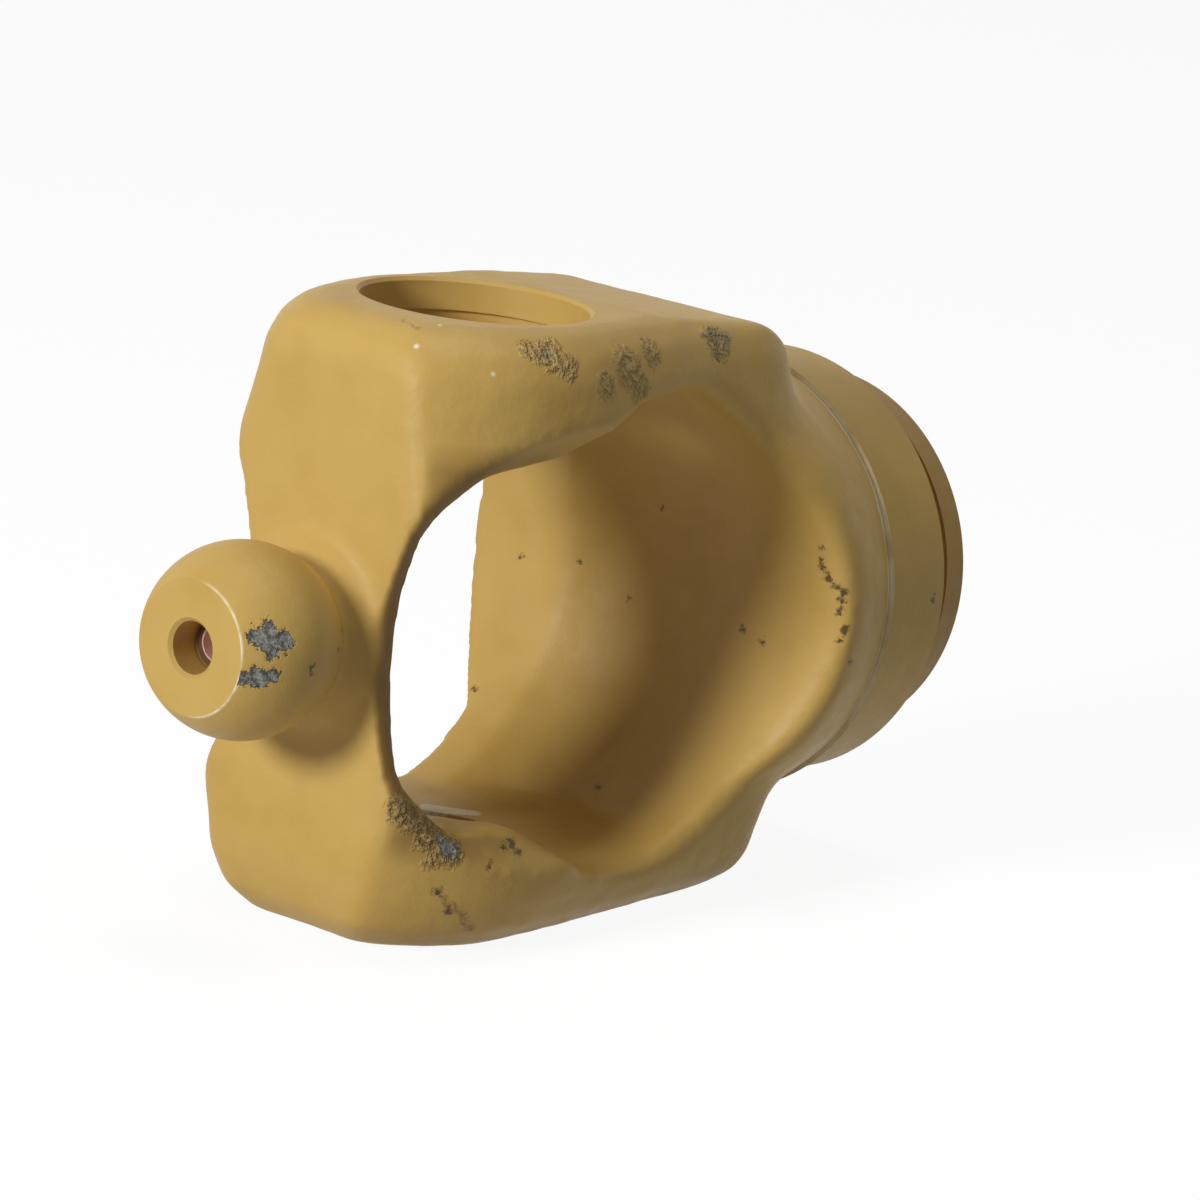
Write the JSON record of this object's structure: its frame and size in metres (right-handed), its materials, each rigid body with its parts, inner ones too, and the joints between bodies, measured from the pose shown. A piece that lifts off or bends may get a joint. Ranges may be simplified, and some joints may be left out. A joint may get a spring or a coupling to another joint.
{
  "type": "forged yoke",
  "caption": "One-piece forged yoke: two eared arms with aligned cross bores, an open window, a round hub at the rear and a ball stud on the front bridge.",
  "frame": {"origin": "centre of the cross, where the axis of the two cross bores meets the axis of the hub and the ball", "axes": "+Z along the two cross bores, +X back along the hub, with the ball at minus X"},
  "size_m": [0.1379, 0.0704, 0.0874],
  "materials": {
    "painted_forging": "ochre enamel sprayed over a rough steel forging, chipped to bare steel in places"
  },
  "bodies": {
    "root": {"forged_yoke": "painted_forging"}
  },
  "joints": []
}
